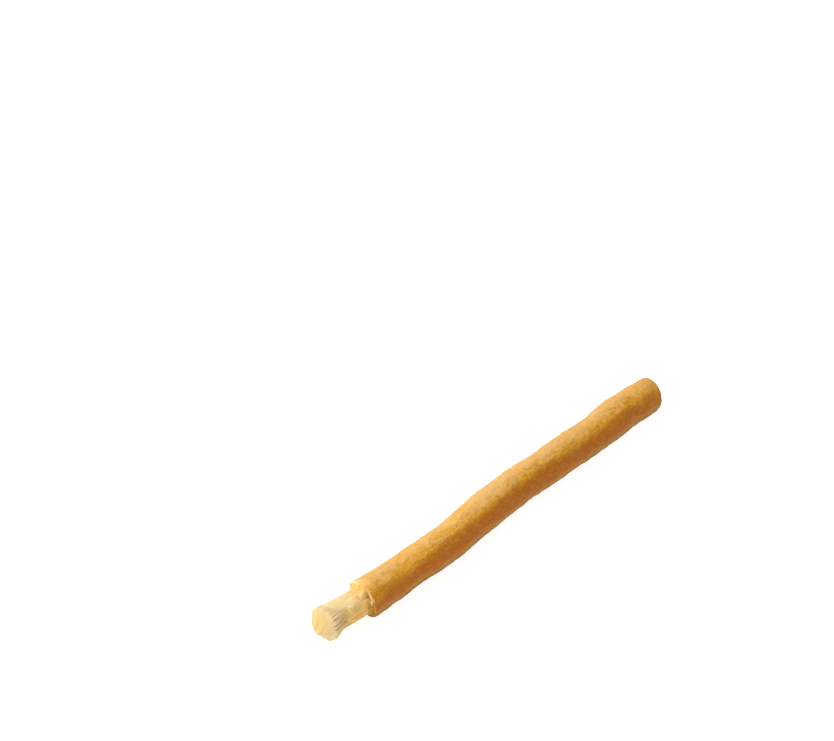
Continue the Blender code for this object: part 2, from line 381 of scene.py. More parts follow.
def station_value(column, distance):
    """One column of the stations at a distance from the tips, in metres, on a smooth curve."""
    at = distance / MM
    rows = SHAFT_STATIONS
    i = max(k for k in range(len(rows) - 1) if rows[k][0] <= max(at, 0))
    before, here, there, after = (rows[min(max(k, 0), len(rows) - 1)] for k in (i - 1, i, i + 1, i + 2))
    span = there[0] - here[0]
    slope_here = (there[column] - before[column]) / (there[0] - before[0])
    slope_there = (after[column] - here[column]) / (after[0] - here[0])
    t = (at - here[0]) / span
    value = (
        here[column] * (2 * t**3 - 3 * t**2 + 1)
        + slope_here * span * (t**3 - 2 * t**2 + t)
        + there[column] * (3 * t**2 - 2 * t**3)
        + slope_there * span * (t**3 - t**2)
    )
    return value * MM


def centre_line(distance):
    return Vector((distance - STICK_LENGTH / 2, station_value(1, distance), station_value(2, distance)))


def shaft_radius(distance):
    return station_value(3, distance) / 2


def spoke(radius, angle):
    """How far across the stick a place lies that is at a radius and an angle round the centre line."""
    return Vector((0.0, radius * cos(angle), radius * sin(angle)))


def ring_place(distance, angle, radius):
    """A place at an angle and radius round the centre line."""
    return centre_line(distance) + spoke(radius, angle)


def neck_radius(distance, angle):
    """The bare wood is an even cylinder from the rim on, and swells where it splits into the brush."""
    low = 0.5 + 0.5 * cos(angle - LOWER_SIDE)
    start, end = (blend(upper, lower, low) for upper, lower in zip(UPPER_SWELL, LOWER_SWELL))
    swell = (BRUSH_DIAMETER - NECK_DIAMETER) / 2
    return NECK_DIAMETER / 2 + swell * smoothstep(start, end, distance)


def butt_shift(distance, radius, angle):
    """How far the slanting cut moves a place near the butt along the stick."""
    longest = shaft_radius(STICK_LENGTH) - BUTT_ROUNDING
    at_butt = smoothstep(STICK_LENGTH - BUTT_FADE, STICK_LENGTH - BUTT_ROUNDING, distance)
    return at_butt * BUTT_SLANT * (radius * cos(angle - BUTT_LONGEST) - longest)


def wander(position, height):
    """A smooth irregular height, mostly within the one given either way, where noise cells are 1 apart."""
    return height * noise.noise(position) / NOISE_REACH


def stretched(position, along, across):
    """A place in noise cells that are longer along the stick than across it."""
    return Vector((position.x / along, position.y / across, position.z / across))


def ripple(position, height, along, across):
    """A smooth irregular height with one spacing along the stick and another across it."""
    return wander(stretched(position, along, across), height)


def lump(position):
    """The bark's broad swellings and hollows, as a height above the round shaft."""
    return wander(position / LUMP_SPACING, LUMP_HEIGHT)


def around(angle, cells):
    """A place on a ring in noise space, so that a pattern round the stick has no seam."""
    return Vector((cos(angle), sin(angle), 0.0)) * cells


def rim_shift(angle):
    """How far the ragged rim stands forward of a square cut, at an angle round the stick."""
    height, cells = RIM_TEETH
    coarse = RIM_SLANT * cos(angle - RIM_NEAREST) + wander(around(angle, RIM_WANDER), RIM_RAGGEDNESS)
    corner = RIM_CORNER_REACH * near_angle(angle, *RIM_CORNER)
    return coarse + corner + wander(around(angle, cells), height)


def rim_pull(distance):
    """How much of the rim's shift the surface follows: all of it at the rim, fading out on both sides."""
    behind = 1 - smoothstep(PEELED_LENGTH + RIM_LIP, PEELED_LENGTH + RIM_FADE, distance)
    return behind * smoothstep(PEELED_LENGTH - RIM_FADE, PEELED_LENGTH - RIM_LIP, distance)


def turned_body(profile, sides):
    """A closed round bmesh, straight along X, from (distance, radius) points that end on its axis."""
    bm = bmesh.new()
    ring = [bm.verts.new((distance, 0.0, radius)) for distance, radius in profile]
    edges = [bm.edges.new(pair) for pair in zip(ring, ring[1:])]
    bmesh.ops.spin(
        bm,
        geom=ring + edges,
        axis=(1.0, 0.0, 0.0),
        cent=(0.0, 0.0, 0.0),
        angle=TURN,
        steps=sides,
        use_merge=True,
    )
    bmesh.ops.remove_doubles(bm, verts=bm.verts, dist=WELD)
    bmesh.ops.recalc_face_normals(bm, faces=bm.faces)
    return bm


def turned_verts(bm):
    """Each vertex of a straight turned body: itself, its distance, its place across, its radius and angle."""
    for vert in bm.verts:
        out = Vector((0.0, vert.co.y, vert.co.z))
        yield vert, vert.co.x, out, out.length, atan2(out.z, out.y)


def add_layers(bm, names):
    """A value at each point under each name."""
    return [bm.verts.layers.float.new(name) for name in names]


def evenly(start, end, step):
    """Values from start to end, both included, about a step apart."""
    count = max(1, round(abs(end - start) / step))
    return [blend(start, end, k / count) for k in range(count + 1)]


def add_object(name, data):
    """An object in the scene's own collection."""
    shown = bpy.data.objects.new(name, data)
    bpy.context.scene.collection.objects.link(shown)
    return shown


def finish_piece(bm, name, material):
    """Turns a bmesh into a shown piece that rides with the stick and stands in place of its plain solid."""
    mesh = bpy.data.meshes.new(name)
    bm.to_mesh(mesh)
    bm.free()
    mesh.materials.append(material)
    mesh.shade_smooth()
    piece = add_object(name, mesh)
    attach(piece, "root")
    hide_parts(STICK_NODE)


class Finish:
    """A node material as it is put together: its tree, its shader, and the colour it has so far."""

    def __init__(self, name, colour):
        self.material = bpy.data.materials.new(name)
        self.material.use_nodes = True
        self.tree = self.material.node_tree
        self.shader = self.tree.nodes["Principled BSDF"]
        self.colour = tuple(colour)

    def set_inputs(self, node, inputs):
        """Gives a node's inputs their values, or links them to the sockets they come from."""
        for key, value in inputs.items():
            if isinstance(value, bpy.types.NodeSocket):
                self.tree.links.new(value, node.inputs[key])
            else:
                node.inputs[key].default_value = value

    def add(self, kind, inputs=None, **settings):
        """A node with its settings and inputs."""
        node = self.tree.nodes.new(kind)
        for key, value in settings.items():
            setattr(node, key, value)
        self.set_inputs(node, inputs or {})
        return node

    def place(self):
        """The piece's own coordinates."""
        return self.add("ShaderNodeTexCoord").outputs["Object"]

    def along(self):
        """The piece's own coordinate along the stick."""
        return self.add("ShaderNodeSeparateXYZ", {0: self.place()}).outputs["X"]

    def calc(self, operation, first, second):
        return self.add("ShaderNodeMath", {0: first, 1: second}, operation=operation).outputs[0]

    def product(self, first, second):
        return self.calc("MULTIPLY", first, second)

    def total(self, first, second):
        return self.calc("ADD", first, second)

    def stored(self, name):
        """A value that the mesh holds at each point."""
        return self.add("ShaderNodeAttribute", attribute_name=name).outputs["Fac"]

    def pattern(self, along, across, detail, roughness, distortion=0.0):
        """Noise on the piece's own coordinates, in cells of the given size along and across the stick."""
        scale = (1 / along, 1 / across, 1 / across)
        place = self.add("ShaderNodeMapping", {"Vector": self.place(), "Scale": scale}).outputs["Vector"]
        inputs = {"Vector": place, "Scale": 1.0, "Detail": detail, "Roughness": roughness}
        return self.add("ShaderNodeTexNoise", {**inputs, "Distortion": distortion}).outputs["Fac"]

    def spread(self, value, low, high, to_low=0.0, to_high=1.0):
        """A value stretched from one range to another, and held inside it."""
        inputs = {"Value": value, "From Min": low, "From Max": high, "To Min": to_low, "To Max": to_high}
        return self.add("ShaderNodeMapRange", inputs, interpolation_type="SMOOTHSTEP").outputs["Result"]

    def side(self, degrees):
        """1 on the side of the stick that faces an angle, -1 on the side away from it."""
        inputs = {0: self.place(), 1: (0.0, 0.0, MIDDLE_HEIGHT)}
        middle = self.add("ShaderNodeVectorMath", inputs, operation="SUBTRACT").outputs["Vector"]
        angle = radians(degrees)
        inputs = {0: middle, 1: (0.0, cos(angle) / MIDDLE_HEIGHT, sin(angle) / MIDDLE_HEIGHT)}
        return self.add("ShaderNodeVectorMath", inputs, operation="DOT_PRODUCT").outputs["Value"]

    def on(self, degrees, *ends):
        """The share that a side of the stick has of what lies there."""
        return self.spread(self.side(degrees), *ends)

    def paint(self, colour, share, *further):
        """Turns the colour so far into another by a share, or by the product of several."""
        for factor in further:
            share = self.product(share, factor)
        inputs = {6: self.colour, 7: tuple(colour), 0: share}
        self.colour = self.add("ShaderNodeMix", inputs, data_type="RGBA").outputs[2]

    def done(self, roughness, gloss, height, strength, distance):
        """The material, once its shader has the colour, the gloss and the fine relief."""
        inputs = {"Height": height, "Strength": strength, "Distance": distance}
        bump = self.add("ShaderNodeBump", inputs).outputs["Normal"]
        inputs = {"Base Color": self.colour, "Roughness": roughness, "Specular IOR Level": gloss}
        self.set_inputs(self.shader, {**inputs, "Normal": bump})
        return self.material


def bark_material(bark):
    """Thin golden bark, finely mottled: painted light makes it peachy on top, and painted shade makes it
    brown at the sides and below and dark in its creases and pits.
    """
    finish = Finish("bark", bark.gold)
    blotches, mottle = finish.pattern(*BLOTCHES), finish.pattern(*MOTTLE)
    # Painted light: the upper side is painted peach.
    top = finish.total(finish.side(PAINTED_LIGHT_TOP), finish.product(blotches, PEACH_DRIFT))
    finish.paint(bark.peach_painted_light, finish.spread(top, *PEACH_SHOWN))
    mottled = finish.on(*MOTTLED_SIDES[0])
    for side in MOTTLED_SIDES[1:]:
        mottled = finish.total(mottled, finish.on(*side))
    finish.paint(bark.straw, finish.spread(finish.pattern(*SPECKS), *SPECKS_SHOWN), mottled)
    along = finish.along()
    # Painted shade: the sides turned from the light are painted brown, most at one place along the stick.
    from_highest = finish.total(along, -BROWN_HIGHEST)
    squared = finish.product(from_highest, from_highest)
    fall = finish.calc("DIVIDE", squared, finish.total(squared, BROWN_SPREAD**2))
    near = finish.total(finish.side(BROWN_NEAR), finish.product(fall, BROWN_FALL))
    brown_shade = finish.calc("MAXIMUM", near, finish.side(BROWN_FAR))
    brown_shade = finish.total(brown_shade, finish.product(blotches, BROWN_DRIFT))
    finish.paint(bark.brown_shade, finish.spread(brown_shade, *BROWN_SHOWN))
    # Painted shade: the lower side is painted umber.
    under = finish.total(finish.side(UMBER_LOW), finish.product(blotches, BROWN_DRIFT))
    finish.paint(bark.umber_shade, finish.spread(under, *UMBER_SHOWN))
    # Painted shade: a narrow dark band, in patches, where the lit side turns to shade.
    shadow_line_patches = finish.spread(finish.pattern(*SHADOW_LINE_PATCHES), *SHADOW_LINE_SHOWN)
    finish.paint(bark.shadow_line_brown, finish.on(*SHADOW_LINE_SIDE), shadow_line_patches)
    # Painted shade on the underside.
    finish.paint(bark.soil_and_shade, finish.on(*SHADED_UNDERSIDE))
    finish.paint(bark.gold, finish.stored("ripe"), RIPE_STRENGTH)
    finish.paint(bark.gold_dark, finish.spread(mottle, *MOTTLE_SHOWN), mottled)
    finish.paint(bark.fleck_and_hollow_shade, finish.spread(finish.pattern(*WRINKLES), *WRINKLES_SHOWN), mottled)
    grain = finish.spread(finish.pattern(*SOIL_GRAIN), *GRAIN_SHOWN)
    finish.paint(bark.soil_and_shade, grain, finish.on(*GRAINY_SIDE))
    finish.paint(bark.soil_and_shade, finish.spread(along, *SOIL_ALONG))
    # Painted shade in the creases, pits and low places, and in the fold grooves.
    finish.paint(bark.fleck_and_hollow_shade, finish.stored("hollow_shade"), HOLLOW_SHADE_STRENGTH, mottled)
    finish.paint(bark.bloom, finish.spread(finish.pattern(*VEIL), *VEIL_SHOWN))
    finish.paint(bark.rim_peach, finish.stored("peachy"))
    finish.paint(bark.worn, finish.stored("butt_end"), HANDLED_STRENGTH)
    finish.paint(bark.inner, finish.stored("pale"))
    roughness = finish.spread(mottle, *BARK_ROUGHNESS)
    relief = finish.total(finish.pattern(*FINE_BARK), finish.product(mottle, MOTTLE_BUMP))
    return finish.done(roughness, BARK_GLOSS, relief, *BARK_BUMP)


def wood_material(wood):
    """Cream fibrous wood, with a tone for each strand and a shade in the gaps between them."""
    finish = Finish("bare_wood", wood.gold)
    streak = finish.pattern(*STREAKS)
    own = finish.product(finish.stored("tone"), TONE_SHARE)
    tone = finish.total(own, finish.product(streak, STREAK_SHARE))
    finish.paint(wood.pale, finish.spread(tone, *PALE_SHOWN))
    finish.paint(wood.gold, finish.spread(finish.pattern(*CLOUDS), *CLOUDS_SHOWN))
    finish.paint(wood.bleached, finish.spread(tone, *BLEACHED_SHOWN))
    finish.paint(wood.stain_and_shade, finish.stored("stain_and_shade"), finish.spread(streak, *STAIN_SHOWN))
    finish.paint(wood.shade, finish.stored("shade"))
    return finish.done(WOOD_ROUGHNESS, WOOD_GLOSS, finish.pattern(*FINE_WOOD), *WOOD_BUMP)


def finish_wood(bm, name, context):
    """Finishes a piece of bare wood, whose material is made once for them all."""
    wood = bpy.data.materials.get("bare_wood") or wood_material(context.scene.miswak_wood)
    finish_piece(bm, name, wood)


def bark_profile(bark):
    """Half outline of the bark, from the butt's middle round the outside to a pole hidden inside the neck."""
    flat = shaft_radius(STICK_LENGTH) - BUTT_ROUNDING
    floor = flat - BUTT_CHAMFER
    profile = [(STICK_LENGTH - BUTT_RECESS, 0.0), (STICK_LENGTH - BUTT_RECESS, floor)]
    profile.append((STICK_LENGTH - BUTT_CHAMFER / 2, floor + BUTT_CHAMFER / 4))
    for turn in evenly(0, pi / 2, pi / 2 / bark.butt_steps)[:-1]:
        back = BUTT_ROUNDING * (1 - cos(turn))
        profile.append((STICK_LENGTH - back, flat + BUTT_ROUNDING * sin(turn)))
    for distance in evenly(STICK_LENGTH - BUTT_ROUNDING, PEELED_LENGTH + RIM_LIP, bark.ring_spacing)[:-1]:
        profile.append((distance, shaft_radius(distance)))
    outside = shaft_radius(PEELED_LENGTH)
    for turn in evenly(0, pi / 2, pi / 2 / LIP_STEPS):
        back = RIM_LIP * (1 - sin(turn))
        profile.append((PEELED_LENGTH + back, outside - RIM_LIP * (1 - cos(turn))))
    inside = NECK_DIAMETER / 2
    for share in evenly(0, 1, 1 / RIM_FACE_STEPS)[1:]:
        dish = RIM_DISH * sin(pi / 2 * share)
        profile.append((PEELED_LENGTH + dish, blend(outside - RIM_LIP, inside, share)))
    profile.append((PEELED_LENGTH + SOCKET_DEPTH, inside - RIM_DISH))
    profile.append((PEELED_LENGTH + SOCKET_DEPTH, 0.0))
    return profile


def bark_relief(position):
    """The height of the bark's own fine relief, and how much painted shade it gets, from 0 to 1: most in its
    creases, pits and low places, least on its bumps.
    """
    pitted = smoothstep(*PITTED_REACH, position.x)
    bumps = ripple(position, *BUMPS)
    patch = smoothstep(*CREASED_PATCHES, noise.noise(position / PATCH_SPACING))
    crease_depth, along, across = CREASES
    line = noise.noise(stretched(position, along, across))
    crease = blend(1.0, 0.35, pitted) * patch * (1 - smoothstep(0, CREASE_WIDTH, abs(line)))
    pit_depth, along, across = PITS
    pit = smoothstep(*PIT_THRESHOLD, noise.noise(stretched(position, along, across) + PIT_CELLS))
    pit *= blend(0.4, 1.0, pitted)
    hollow_shade = clamp(0.75 * crease + 0.8 * pit - 0.3 * bumps / BUMPS[0])
    return bumps + ripple(position, *GRAIN) - crease_depth * crease - pit_depth * pit, hollow_shade


def bark_folds():
    """The folds that stand out, and smaller ones scattered over the rest of the bark."""
    chance = random.Random(FOLD_SEED)
    return FOLDS + [[chance.uniform(*ends) for ends in FOLD_RANGES] for _ in range(FOLD_COUNT)]


def fold_relief(distance, angle, radius, folds):
    """The height of the folds at a place: a low ridge with a groove along its lower side."""
    height = 0.0
    for place, degrees, length, bend, rise in folds:
        along = (distance - place * MM) / (length * MM / 2)
        if abs(along) < 1:
            sideways = turn_between(angle, radians(degrees)) * radius - bend * MM * along**2
            sideways += wander(Vector((distance / FOLD_WAVE, degrees, 0.0)), 0.6 * FOLD_WIDTH)
            ridge = hill(sideways, -0.3 * FOLD_WIDTH, FOLD_WIDTH)
            groove = 1.3 * hill(sideways, 0.45 * FOLD_WIDTH, 0.6 * FOLD_WIDTH)
            height += rise * MM * (1 - along**2) * (ridge - groove)
    return height


def rim_colours(behind, angle):
    """How pale, how peachy and how golden the bark is at a place behind the rim."""
    cells, scatter = RAGGED_BAND
    ragged = 1 + wander(around(angle, cells), scatter)
    cells, scatter = WAVY_BAND
    further = behind + wander(around(angle, cells), scatter)
    bleached = on_side(angle, *BLEACHED_SIDE) * (1 - smoothstep(0, BLEACHED_REACH * ragged, behind))
    lip = on_side(angle, *LIP_SIDE) * (1 - smoothstep(0.4, 1.0, behind / (LIP_REACH * ragged)))
    peachy = on_side(angle, *PEACHY_SIDE) * (1 - smoothstep(0, PEACHY_REACH, further))
    ripe = on_side(angle, *RIPE_SIDE) * (1 - smoothstep(0.3, 1.0, further / RIPE_REACH))
    pale = blend(0.95, 0.7, smoothstep(0, RIM_LIP, behind)) * bleached
    return max(pale, 0.5 * lip), peachy, ripe


def shape_bark(bm):
    """Moves the straight turned bark onto the crooked stick, with its relief, ragged rim and flat rests."""
    hollow_shade_layer, pale_layer, peach_layer, ripe_layer, butt_layer = add_layers(bm, BARK_LAYERS)
    folds = bark_folds()
    outside, inside = shaft_radius(PEELED_LENGTH), NECK_DIAMETER / 2
    for vert, distance, out, radius, angle in turned_verts(bm):
        behind = distance - PEELED_LENGTH
        outer = smoothstep(0.8, 0.97, radius / shaft_radius(distance))
        on_bark = smoothstep(-RIM_LIP, RIM_FADE, behind)
        relief, hollow_shade = bark_relief(vert.co)
        folded = fold_relief(distance, angle, radius, folds)
        relief = (relief + folded) * outer * smoothstep(0, 2 * RIM_LIP, behind)
        if radius > 0:
            out *= 1 + (on_bark * lump(vert.co) + relief) / radius
        place = centre_line(distance) + out
        place.x += butt_shift(distance, radius, angle) - rim_pull(distance) * rim_shift(angle)
        if behind < SOCKET_DEPTH / 2 and radius < outside - RIM_LIP / 2:
            across = (radius - inside) / (outside - RIM_LIP - inside)
            place.x += HOLLOW_DEPTH * near_angle(angle, HOLLOW_ANGLE, HOLLOW_WIDTH) * hill(across, 0.35, 0.6)
            place.x += wander(Vector((radius, out.y, out.z)) / RIM_GRAIN_SPACING, RIM_GRAIN)
        place.z = max(place.z, 0.0)
        vert.co = place
        pale, peachy, ripe = rim_colours(behind, angle)
        if radius < outside - 0.9 * RIM_LIP and behind < SOCKET_DEPTH:
            clean = 0.15 * (1 - on_side(angle, ROOT_SIDE, 2 * ROOT_WIDTH))
            pale = max(pale, clean, 0.08 * on_side(angle, LOWER_SIDE, SIDE_FADE))
            ripe = 1.1 - 0.4 * on_side(angle, LOWER_SIDE, ROOT_WIDTH)
        # Painted shade: darker in the creases, pits and low places and in the grooves beside the folds, less
        # on the fold ridges; the pits also stand for the bark's own dark flecks.
        vert[hollow_shade_layer] = clamp(hollow_shade - 4 * folded / MM) * outer * on_bark
        vert[pale_layer] = pale
        vert[peach_layer] = peachy
        vert[ripe_layer] = ripe
        vert[butt_layer] = smoothstep(STICK_LENGTH - HANDLED_FROM, STICK_LENGTH - HANDLED_TO, distance)


def butt_profile():
    """Half outline of the wood that shows at the butt: a thin disc just below the bark's edge."""
    rim = shaft_radius(STICK_LENGTH) - BUTT_ROUNDING - BUTT_CHAMFER / 2
    face = STICK_LENGTH - BUTT_FACE_BELOW
    back = STICK_LENGTH - 2 * BUTT_RECESS
    profile = [(face, radius) for radius in evenly(0, rim, BUTT_FACE_STEP)]
    return profile + [(face - BUTT_CHAMFER / 2, rim + BUTT_CHAMFER / 4), (back, rim), (back, 0.0)]


def shape_butt(bm):
    """Roughens the cut face as a saw leaves fibrous wood, with one drying check across its middle."""
    tone_layer, shade_layer, stain_and_shade_layer = add_layers(bm, WOOD_LAYERS)
    for vert, distance, out, radius, angle in turned_verts(bm):
        fibre = noise.noise(out / FIBRE_GRAIN)
        saw = noise.noise(Vector((out.y / (2.5 * MM), out.z / (0.3 * MM), 4.0)))
        ring = sin(radius / RING_SPACING + 2.5 * noise.noise(out / (2 * MM)))
        across = out.z - CHECK_LEAN * out.y + wander(Vector((out.y / (1.3 * MM), 0.0, 9.0)), 0.35 * MM)
        crack = hill(across, 0, CHECK_WIDTH) * hill(out.y, CHECK_MIDDLE, CHECK_REACH)
        on_face = smoothstep(STICK_LENGTH - BUTT_RECESS, STICK_LENGTH - BUTT_FACE_BELOW, distance)
        place = centre_line(distance) + out
        place.x += butt_shift(distance, radius, angle)
        place.x += on_face * (0.035 * fibre + 0.05 * saw + 0.012 * ring - 0.2 * crack) * MM
        vert.co = place
        vert[tone_layer] = clamp(0.5 + 0.8 * fibre + 0.12 * ring)
        vert[shade_layer] = clamp(0.45 * crack + 0.08 + 0.16 * smoothstep(-0.1, -0.45, fibre))
        vert[stain_and_shade_layer] = 0.5 * smoothstep(2.5 * MM, 5.5 * MM, radius)


def neck_profile():
    """Half outline of the bare neck, from a pole inside the bark to its core between the bristles."""
    start = PEELED_LENGTH + 0.7 * SOCKET_DEPTH
    radius = NECK_DIAMETER / 2
    profile = [(start, 0.0)]
    profile += [(distance, radius) for distance in evenly(start, NECK_END, NECK_STEP)]
    profile += [(distance, radius) for distance in evenly(NECK_END, CORE_END, 2 * NECK_STEP)[1:]]
    profile.append((CORE_END, 0.0))
    return profile


def near_spot(position, angle, distance, degrees, along, across):
    """1 at a spot on the neck, falling to 0 at its edge."""
    sideways = turn_between(angle, radians(degrees)) * NECK_DIAMETER / 2
    off = hypot((position.x - distance * MM) / along, sideways / across) * MM_IN_METRE
    return 1 - smoothstep(0, 1, off)


def neck_relief(position, angle):
    """The neck's height above an even cylinder, and the ridges' and the crushed spots' own parts of that."""
    rough = smoothstep(0.5 * SMOOTH_WIDTH, SMOOTH_WIDTH, abs(turn_between(angle, SMOOTH_SIDE)))
    ridges = 0.0
    for height, along, across in NECK_RIDGES:
        ridges += ripple(position, height * blend(SMOOTH_SHARE, 1.0, rough), along, across)
    crushed = 0.0
    for distance, degrees, rise, radius in CRUSHED_SPOTS:
        crushed += rise * MM * near_spot(position, angle, distance, degrees, radius, radius)
    return ridges + ripple(position, *NECK_LUMP) + crushed, ridges, crushed


def root_flare(position, angle):
    """How far the neck swells as it meets the bark."""
    rim = PEELED_LENGTH - rim_shift(angle)

    def swell(size, reach):
        return size * smoothstep(PEELED_LENGTH - reach, rim, position.x)

    free = 1 - on_side(angle, HOLLOW_ANGLE, 0.6 * HOLLOW_WIDTH, 0.4 * HOLLOW_WIDTH)
    lumpy = 1 + ripple(position, 0.1, 1.6 * MM, 1.2 * MM)
    shown = 1 - smoothstep(rim + 0.1 * MM, rim + 0.7 * MM, position.x)
    return shown * lumpy * (free * swell(*ROOT_FLARE) + swell(*ROOT_RISE) * on_side(angle, *ROOT_RISE_SIDE))


def core_inset(distance, angle):
    """How far the neck's wood lies under the bristles: deep between tufts, elsewhere only at their ends."""
    split = wander(around(angle, SPLIT_CELLS), SPLIT_RAGGEDNESS)
    deep = CORE_INSET * smoothstep(NECK_END, CORE_START, distance + split)
    shallow = CORE_UPPER_INSET * smoothstep(CORE_FRAYED, CORE_END, distance + split)
    return blend(shallow, deep, tufted_share(angle))


def lower_side(angle):
    """1 along the neck's near and lower side, and 0 on its upper side."""
    return smoothstep(*LOW_BEGINS, angle % TURN) * (1 - smoothstep(*LOW_ENDS, angle % TURN))


def neck_stain_and_shade(position, angle):
    """Golden-brown streaks along the near and lower side, there partly painted shade, patches by the bark and
    painted shadow in the recess by the rim, from 0 to 1.
    """
    low = lower_side(angle)
    streaks = clamp(0.5 + ripple(position, *STAIN_STREAKS))
    further = smoothstep(3 * MM, 10 * MM, position.x)
    spots = max(near_spot(position, angle, *spot) for spot in STAINED_SPOTS)
    # Painted shadow, carried as stain, in the recess between the neck and the bark's lip.
    hollow_shadow_stain = on_side(angle, HOLLOW_ANGLE, 0.8 * HOLLOW_WIDTH) * smoothstep(14 * MM, 16 * MM, position.x)
    ragged = position.x + ripple(position, *STAIN_EDGE)
    ramp = smoothstep(*RAMP_REACH, ragged) * on_side(angle, *RAMP_SIDE)
    upper = UPPER_STAIN * (1 - low) * smoothstep(5 * MM, 9 * MM, position.x)
    at_root = 0.8 * smoothstep(ROOT_FROM - MM, ROOT_TO, ragged) * on_side(angle, ROOT_SIDE, ROOT_WIDTH)
    shown = max(0.6 * spots, ramp) + max(0.45 * hollow_shadow_stain, at_root) + upper
    return clamp(low * (0.27 + 0.75 * streaks) * blend(0.2, 1.0, further) + shown)


def shape_neck(bm):
    """Moves the straight turned neck onto the stick, with its relief, its swell, its stains and its painted
    shade.
    """
    tone_layer, shade_layer, stain_and_shade_layer = add_layers(bm, WOOD_LAYERS)
    for vert, distance, out, radius, angle in turned_verts(bm):
        relief, ridges, crushed = neck_relief(vert.co, angle)
        if radius > 0:
            outer = smoothstep(0.7, 0.8, radius / (NECK_DIAMETER / 2))
            relief += root_flare(vert.co, angle) - core_inset(distance, angle)
            out *= neck_radius(distance, angle) / (NECK_DIAMETER / 2) + outer * relief / radius
        vert.co = centre_line(distance) + out
        low = lower_side(angle)
        ragged = distance + wander(out / (0.7 * MM), 0.35 * MM)
        # Painted shadow in the recess between the neck and the bark's lip.
        hollow_shadow = 0.3 * on_side(angle, HOLLOW_ANGLE, 0.45 * HOLLOW_WIDTH, 0.3 * HOLLOW_WIDTH)
        hollow_shadow *= smoothstep(15 * MM, 15.8 * MM, ragged)
        at_root = 0.85 * smoothstep(ROOT_FROM, ROOT_TO, ragged)
        at_root *= on_side(angle, ROOT_SIDE, ROOT_WIDTH, ROOT_FADE)
        buried = smoothstep(NECK_END, CORE_START, distance) * tufted_share(angle)
        upper = UPPER_SHADE * (1 - low) * smoothstep(4 * MM, 8 * MM, distance)
        # The near and lower side is painted more golden: partly its own tone, partly painted shade.
        ripe = RIPE_AND_SHADE_SHARE * low * smoothstep(5 * MM, 9 * MM, distance)
        stain_and_shade = neck_stain_and_shade(Vector((distance, out.y, out.z)), angle)
        vert[tone_layer] = clamp(0.6 - ripe + 3.5 * ridges / MM + 2.5 * crushed / MM)
        vert[shade_layer] = clamp(0.6 * buried + max(hollow_shadow, at_root) + upper - 1.2 * ridges / MM)
        vert[stain_and_shade_layer] = stain_and_shade * (1 - clamp(4 * crushed / MM))


def lock_centres():
    """The solid's own bristle locks: share of the radius, angle, and how far back the tip is."""
    chance = random.Random(LOCK_SEED)
    centres = []
    for number, share in LOCK_RINGS:
        turn = chance.uniform(0, TURN)
        for k in range(number):
            place = k + chance.uniform(-LOCK_SPACING_SCATTER, LOCK_SPACING_SCATTER)
            centres.append((share, turn + TURN * place / number, chance.uniform(0, TIP_SCATTER)))
    return centres


def cross_place(distance, share, angle):
    """A place in the brush's cross-section, by share of its radius and angle."""
    return spoke(neck_radius(distance, angle) * share, angle)


def tufted_share(angle):
    """1 at the brush's lower near side, where its tufts stand apart, and 0 at the upper side."""
    return 1 - smoothstep(0.5 * TUFTED_WIDTH, TUFTED_WIDTH, abs(turn_between(angle, TUFTED_SIDE)))


def worn_back(share, angle):
    """How far back the bristles end near the brush's edge, as a share of its radius and an angle."""
    worn = WORN_DEPTH * smoothstep(*WORN_BEYOND, abs(turn_between(angle, FAR_SIDE)))
    notch = NOTCH_DEPTH * near_angle(angle, *NOTCH)
    proud = PROUD_HEIGHT * near_angle(angle, *PROUD_TUFT)
    return EDGE_ROUNDING * share**4 + (worn - proud) * share**3 + notch * share**6


class Tuft:
    """One lock of bristles: where it stands, and how it pulls together, leans and frays."""

    def __init__(self, share, angle, tip, chance, brush):
        self.share = share * (1 - LOCK_DIAMETER / BRUSH_DIAMETER)
        self.angle = angle
        self.tip = tip
        low = tufted_share(angle) * smoothstep(*GAP_SHARES, share)
        self.pull = brush.tuft_pull * (0.05 + 0.95 * low) * chance.uniform(0.75, 1.25)
        self.lift = (0.03 + 0.27 * low) * share * chance.uniform(0.0, 1.0) * MM
        self.lean = chance.uniform(-1, 1) * (0.03 + 0.08 * low) * MM
        self.tone = chance.uniform(-1, 1)
        self.split = chance.uniform(*SPLIT_LENGTHS)
        self.place = cross_place(0.0, self.share, angle)

    def shift(self, distance):
        """How far the lock stands out and aside at a distance, as it splays towards its tips."""
        ease = 1 - smoothstep(0, SPLAY_REACH, distance)
        out = spoke(1, self.angle)
        aside = Vector((0.0, -sin(self.angle), cos(self.angle)))
        return ease * (self.lift * out + self.lean * aside)


def bristle_sites(brush, chance):
    """Even but jittered places for the bristles over the brush's cross-section, as (share, angle)."""
    count = round(SITE_DENSITY * (BRUSH_DIAMETER / 2 / brush.spacing) ** 2)
    jitter = brush.jitter * brush.spacing / (BRUSH_DIAMETER / 2)
    sites = []
    for k in range(count):
        share = sqrt((k + 0.5) / count)
        share = min(1.0, share + chance.uniform(-jitter, jitter))
        angle = k * GOLDEN_ANGLE + chance.uniform(-jitter, jitter) / max(share, 0.05)
        sites.append((share, angle))
    return sites


